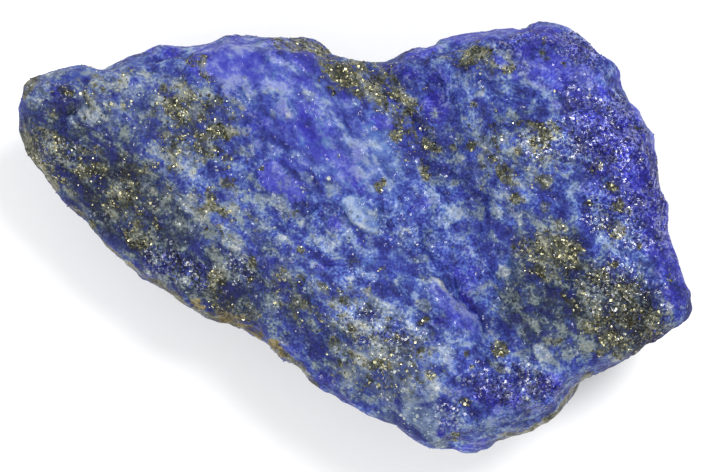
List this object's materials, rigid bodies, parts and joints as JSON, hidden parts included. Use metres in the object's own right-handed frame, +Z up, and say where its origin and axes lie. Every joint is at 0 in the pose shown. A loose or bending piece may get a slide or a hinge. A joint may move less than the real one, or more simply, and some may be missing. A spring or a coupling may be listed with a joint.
{
  "type": "rough lapis lazuli stone",
  "caption": "Rough wedge-shaped piece of blue lapis lazuli rock with gold pyrite grains and pale calcite, resting on a small flat spot.",
  "frame": {"origin": "middle of the bounding box's bottom, at the level of the flat spot that the stone rests on", "axes": "+X along the stone's length towards its thick end, +Y across the broad blue face, +Z up through the thickness, with the blue face up"},
  "size_m": [0.07, 0.0456, 0.0221],
  "materials": {
    "lapis": "rough broken rock, sugary grain with bright pyrite specks"
  },
  "bodies": {
    "root": {"lapis_stone": "lapis"}
  },
  "joints": []
}
